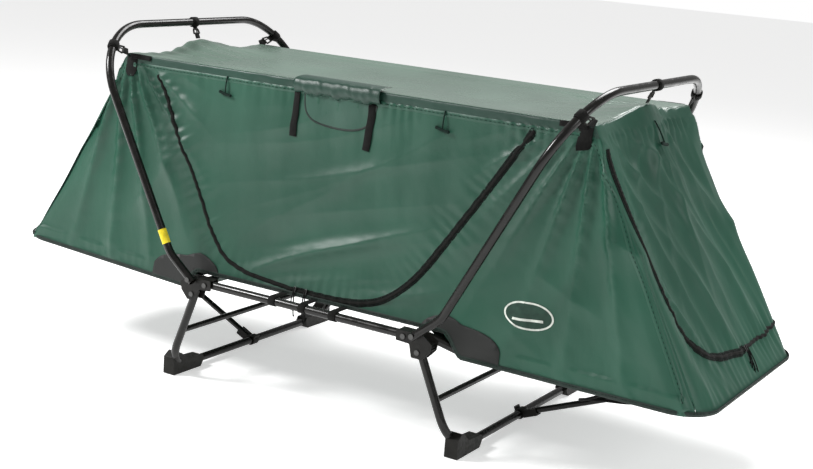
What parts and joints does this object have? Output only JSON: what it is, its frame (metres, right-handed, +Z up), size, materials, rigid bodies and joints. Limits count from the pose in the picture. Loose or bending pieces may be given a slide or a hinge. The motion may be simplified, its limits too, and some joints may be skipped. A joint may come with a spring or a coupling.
{
  "type": "folding cot",
  "caption": "Folding camp cot with a tent: hinged end sections, U legs with braces, and two bows that hold up a green nylon tent over the bed",
  "frame": {"origin": "on the floor under the middle of the bed", "axes": "X along the bed, Y across it with the side door facing -Y, Z up"},
  "size_m": [2.134, 0.88, 0.9473],
  "materials": {
    "black_tube": "gloss black powder coat",
    "black_bracket": "satin black coat",
    "dark_steel": "blackened steel",
    "black_plastic": "moulded, fine grain",
    "floor_cloth": "coated woven polyester",
    "green_nylon": "coated woven nylon with a soft sheen",
    "zip_tape": "woven tape with moulded teeth",
    "black_webbing": "woven webbing",
    "black_cord": "braided cord",
    "badge_print": "plain printed patch",
    "yellow_tape": "plain tape"
  },
  "bodies": {
    "centre_frame": {"awning_ties": "black_webbing", "badge": "badge_print", "bow_bolts": "dark_steel", "bracket_back_left": "black_bracket", "bracket_back_right": "black_bracket", "bracket_front_left": "black_bracket", "bracket_front_right": "black_bracket", "corner_patches_back": "black_webbing", "corner_patches_front": "black_webbing", "end_door_zipper_left": "zip_tape", "end_door_zipper_right": "zip_tape", "end_pins": "dark_steel", "floor_centre": "floor_cloth", "floor_straps": "black_webbing", "frame_patches": "black_webbing", "leg_bolts": "dark_steel", "rail_back": "black_tube", "rail_bolts": "dark_steel", "rail_front": "black_tube", "side_door_zipper": "zip_tape", "tent_back_wall": "green_nylon", "tent_front_wall": "green_nylon", "tent_left_end": "green_nylon", "tent_right_end": "green_nylon", "tent_roof": "green_nylon", "vent_awning": "green_nylon", "wall_toggles": "black_cord", "zipper_pulls": "black_cord"},
    "left_end": {"brace_lug_left": "dark_steel", "brace_rivet_left": "dark_steel", "end_frame_left": "black_tube", "floor_left": "floor_cloth"},
    "right_end": {"brace_lug_right": "dark_steel", "brace_rivet_right": "dark_steel", "end_frame_right": "black_tube", "floor_right": "floor_cloth", "storage_loop": "black_webbing"},
    "left_leg": {"brace_clip_left": "black_plastic", "feet_left": "black_plastic", "leg_cross_bar_left": "black_tube", "leg_left": "black_tube"},
    "right_leg": {"brace_clip_right": "black_plastic", "feet_right": "black_plastic", "leg_cross_bar_right": "black_tube", "leg_right": "black_tube"},
    "left_bow": {"bow_label": "yellow_tape", "bow_left": "black_tube", "bow_straps_left": "black_webbing"},
    "right_bow": {"bow_right": "black_tube", "bow_straps_right": "black_webbing"},
    "left_brace": {"brace_left": "black_tube"},
    "right_brace": {"brace_right": "black_tube"}
  },
  "joints": [
    {"name": "left_end_fold", "type": "hinge", "parent": "centre_frame", "child": "left_end", "pos_m": [-0.35, 0, 0.291], "axis": [0, 1, 0], "range_deg": [0, 176.5], "deforming": ["awning_ties", "corner_patches_front", "end_door_zipper_left", "side_door_zipper", "tent_front_wall", "tent_left_end", "tent_roof", "vent_awning", "wall_toggles", "bow_straps_left"]},
    {"name": "left_leg_fold", "type": "hinge", "parent": "centre_frame", "child": "left_leg", "pos_m": [-0.355, 0, 0.259], "axis": [0, -1, 0], "range_deg": [0, 112]},
    {"name": "left_bow_fold", "type": "hinge", "parent": "centre_frame", "child": "left_bow", "pos_m": [-0.35, 0, 0.304], "axis": [0, 1, 0], "range_deg": [0, 118]},
    {"name": "left_brace_stow", "type": "hinge", "parent": "left_end", "child": "left_brace", "pos_m": [-1.01435, 0, 0.28392], "axis": [0, -1, 0], "range_deg": [0, 21.5]},
    {"name": "right_end_fold", "type": "hinge", "parent": "centre_frame", "child": "right_end", "pos_m": [0.35, 0, 0.291], "axis": [0, -1, 0], "range_deg": [0, 150], "deforming": ["badge", "corner_patches_back", "end_door_zipper_right", "frame_patches", "tent_back_wall", "tent_right_end", "zipper_pulls", "bow_straps_right"]},
    {"name": "right_leg_fold", "type": "hinge", "parent": "centre_frame", "child": "right_leg", "pos_m": [0.355, 0, 0.259], "axis": [0, 1, 0], "range_deg": [0, 112]},
    {"name": "right_bow_fold", "type": "hinge", "parent": "centre_frame", "child": "right_bow", "pos_m": [0.35, 0, 0.304], "axis": [0, -1, 0], "range_deg": [0, 101.6]},
    {"name": "right_brace_stow", "type": "hinge", "parent": "right_end", "child": "right_brace", "pos_m": [1.013, 0, 0.248], "axis": [0, 1, 0], "range_deg": [0, 21.5]}
  ],
  "couplings": [
    {"joint": "left_bow_fold", "follows": "left_end_fold", "ratio": 0.66799},
    {"joint": "right_bow_fold", "follows": "right_end_fold", "ratio": 0.67667}
  ]
}
